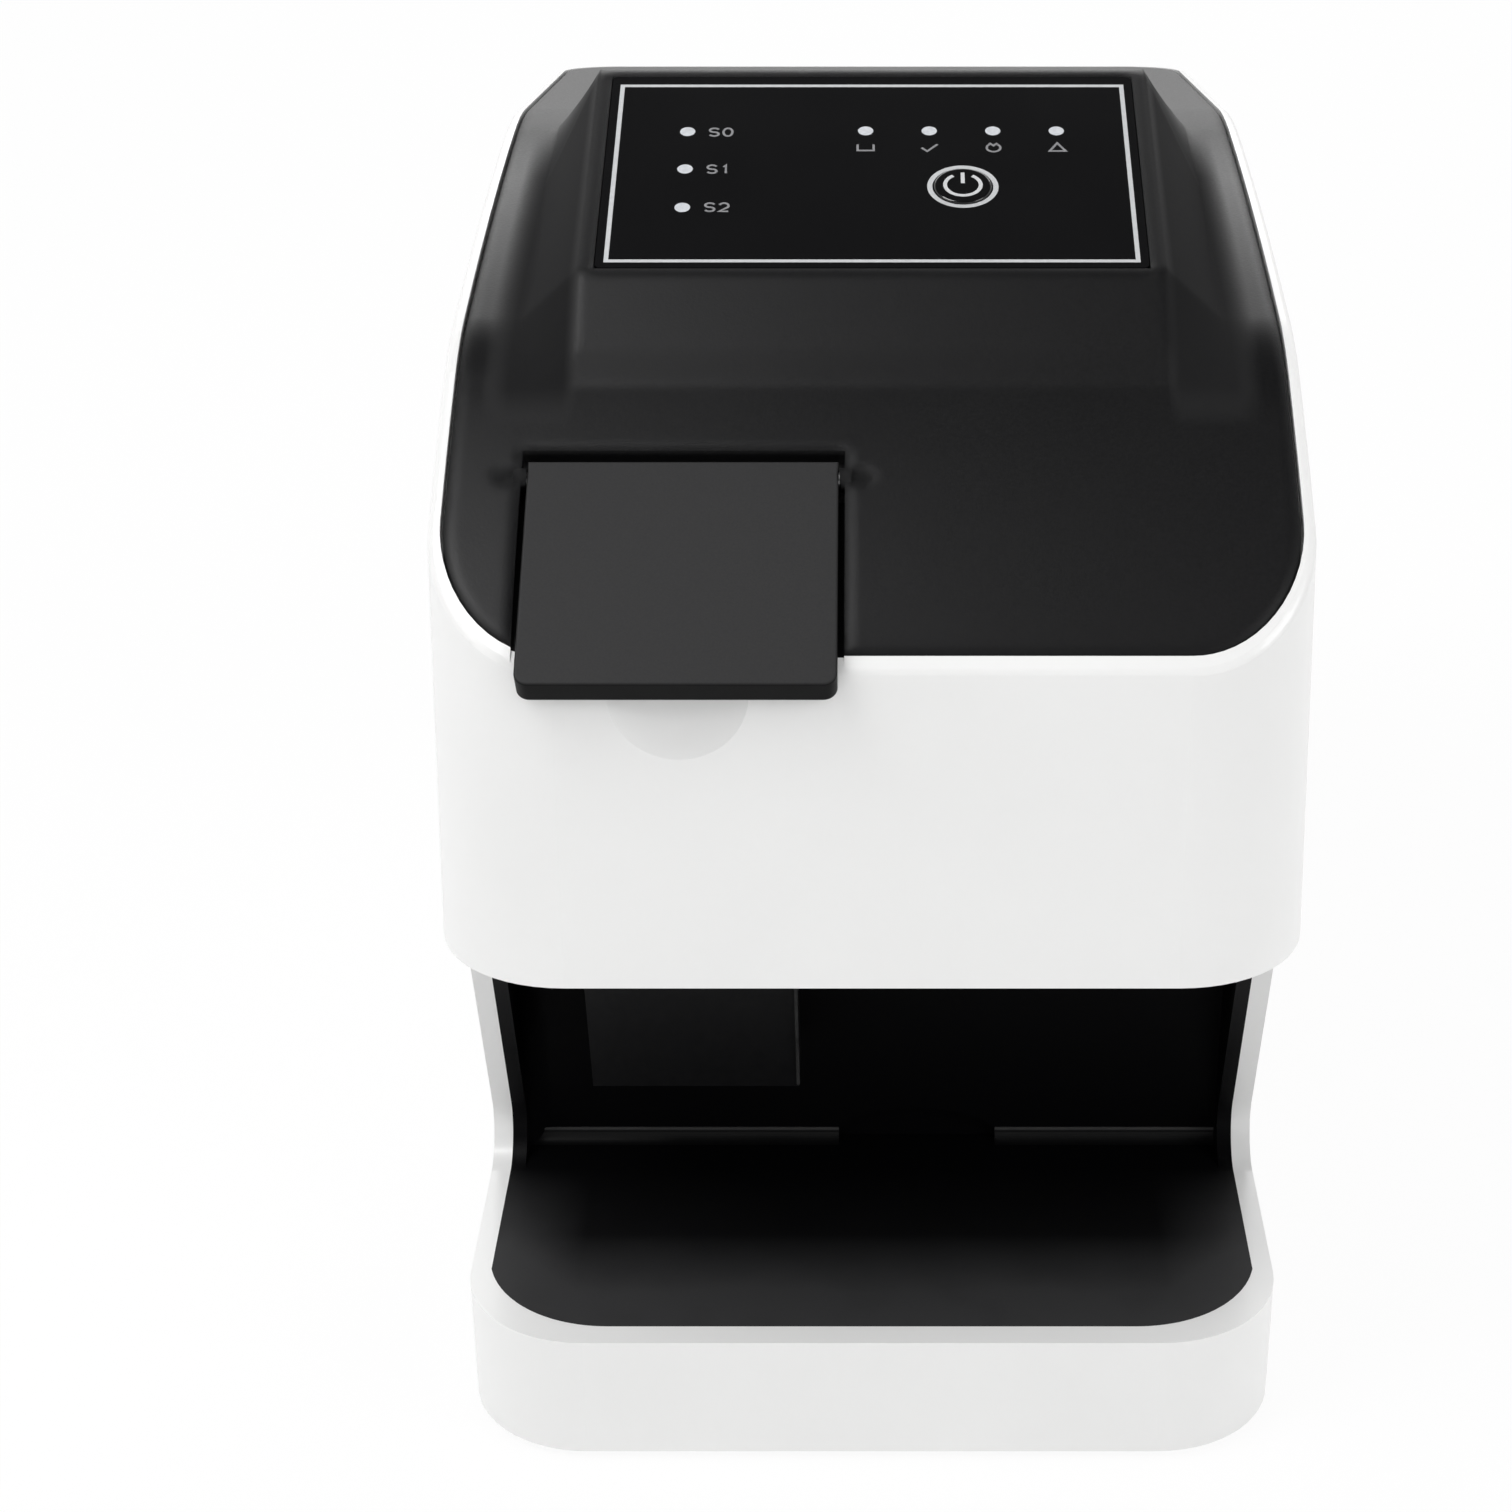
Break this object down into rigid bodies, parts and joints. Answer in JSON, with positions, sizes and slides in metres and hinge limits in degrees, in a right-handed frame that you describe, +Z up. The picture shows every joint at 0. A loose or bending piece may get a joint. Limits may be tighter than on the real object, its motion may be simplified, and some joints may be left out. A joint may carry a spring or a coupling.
{
  "type": "phosphor plate scanner",
  "caption": "Desktop scanner for dental imaging plates: white C-shaped housing, arched black top with a lidded input slot and a control panel, and an open bay where plates drop out.",
  "frame": {"origin": "centre of the footprint's bounding box, on the surface that the rubber feet stand on", "axes": "+Z up, +Y towards the rear sockets and along the depth, +X to the right as seen from the front; the front with the bay faces -Y"},
  "size_m": [0.13, 0.2398, 0.1969],
  "materials": {
    "white_shell": "moulded white, semi-gloss",
    "black_top": "moulded black, fine satin grain",
    "panel_black": "high gloss black",
    "silver_trim": "satin silver",
    "window_grey": "milky translucent",
    "key_black": "gloss black",
    "bay_black": "satin black",
    "steel": "ground",
    "zinc_sheet": "zinc plated sheet",
    "guide_plastic": "smooth black",
    "flap_aluminium": "black anodised",
    "bush_plastic": "natural acetal",
    "roller_rubber": "matt",
    "pulley_aluminium": "machined",
    "belt_rubber": "matt",
    "motor_black": "satin",
    "optics_cast": "die cast",
    "optics_black": "black anodised",
    "facet_mirror": "polished facets",
    "lens_glass": "coated",
    "laser_brass": "turned",
    "eraser_white": "white",
    "board_green": "solder mask",
    "switch_black": "matt",
    "post_brass": "turned",
    "foot_rubber": "matt",
    "sink_black": "black anodised",
    "socket_shell": "tinned steel"
  },
  "bodies": {
    "housing": {"hood": "white_shell", "rear_cover": "white_shell", "top_cover": "black_top", "control_panel": "panel_black", "panel_frame_line": "silver_trim", "status_windows": "window_grey", "key_ring": "silver_trim", "panel_board": "board_green", "panel_posts": "bush_plastic", "key_switch": "switch_black", "bay_liner": "bay_black", "outlet_chute": "bay_black", "slot_funnel": "guide_plastic", "left_side_plate": "zinc_sheet", "right_side_plate": "zinc_sheet", "front_guide": "guide_plastic", "rear_guide": "guide_plastic", "drive_bushes": "bush_plastic", "pinch_bushes": "bush_plastic", "toothed_belt": "belt_rubber", "stepper_motor": "motor_black", "motor_posts": "post_brass", "light_collector": "optics_black", "photomultiplier": "zinc_sheet", "optics_tray": "optics_cast", "polygon_motor": "optics_black", "laser_module": "laser_brass", "scan_lens": "lens_glass", "eraser_bar": "eraser_white", "left_stand": "zinc_sheet", "right_stand": "zinc_sheet", "base_plate": "zinc_sheet", "rubber_feet": "foot_rubber", "base_screws": "steel", "main_board": "board_green", "board_standoffs": "post_brass", "heat_sink": "sink_black", "network_socket": "socket_shell", "power_inlet": "switch_black"},
    "slot_cover": {"slot_cover": "black_top", "slot_hinge_pin": "steel"},
    "power_key": {"power_key": "key_black"},
    "light_flap": {"light_flap": "flap_aluminium", "flap_pin": "steel"},
    "motor_rotor": {"motor_shaft": "steel", "motor_pulley": "pulley_aluminium"},
    "upper_feed": {"upper_drive_shaft": "steel", "upper_drive_sleeve": "roller_rubber", "upper_pulley": "pulley_aluminium"},
    "lower_feed": {"lower_drive_shaft": "steel", "lower_drive_sleeve": "roller_rubber", "lower_pulley": "pulley_aluminium"},
    "upper_pinch": {"upper_pinch_shaft": "steel", "upper_pinch_sleeves": "roller_rubber"},
    "lower_pinch": {"lower_pinch_shaft": "steel", "lower_pinch_sleeves": "roller_rubber"},
    "mirror": {"polygon_mirror": "facet_mirror"}
  },
  "joints": [
    {"name": "slot_cover_hinge", "type": "hinge", "parent": "housing", "child": "slot_cover", "pos_m": [-0.0273, -0.08971, 0.15451], "axis": [-1, 0, 0], "range_deg": [0, 95]},
    {"name": "power_key_press", "type": "slide", "parent": "housing", "child": "power_key", "axis": [0, 0.3584, -0.9336], "range_m": [0, 0.0005], "stiffness_N_per_m": 500, "springref_m": -0.002},
    {"name": "light_flap_hinge", "type": "hinge", "parent": "housing", "child": "light_flap", "pos_m": [-0.029, -0.09407, 0.13876], "axis": [1, 0, 0], "range_deg": [0, 60], "stiffness_Nm_per_rad": 0.001, "springref_deg": -17.19},
    {"name": "motor_spin", "type": "hinge", "parent": "housing", "child": "motor_rotor", "pos_m": [-0.029, -0.06335, 0.12245], "axis": [1, 0, 0], "continuous": true},
    {"name": "upper_feed_spin", "type": "hinge", "parent": "housing", "child": "upper_feed", "pos_m": [-0.029, -0.08811, 0.12617], "axis": [1, 0, 0], "continuous": true},
    {"name": "lower_feed_spin", "type": "hinge", "parent": "housing", "child": "lower_feed", "pos_m": [-0.029, -0.0815, 0.10519], "axis": [1, 0, 0], "continuous": true},
    {"name": "upper_pinch_spin", "type": "hinge", "parent": "housing", "child": "upper_pinch", "pos_m": [-0.029, -0.09765, 0.12317], "axis": [1, 0, 0], "continuous": true},
    {"name": "lower_pinch_spin", "type": "hinge", "parent": "housing", "child": "lower_pinch", "pos_m": [-0.029, -0.09103, 0.10218], "axis": [1, 0, 0], "continuous": true},
    {"name": "mirror_spin", "type": "hinge", "parent": "housing", "child": "mirror", "pos_m": [-0.029, -0.00803, 0.13989], "axis": [0, -0.3007, 0.9537], "continuous": true}
  ],
  "couplings": [
    {"joint": "upper_feed_spin", "follows": "motor_spin", "ratio": 0.6},
    {"joint": "lower_feed_spin", "follows": "motor_spin", "ratio": 0.6},
    {"joint": "upper_pinch_spin", "follows": "motor_spin", "ratio": -0.75},
    {"joint": "lower_pinch_spin", "follows": "motor_spin", "ratio": -0.75}
  ]
}
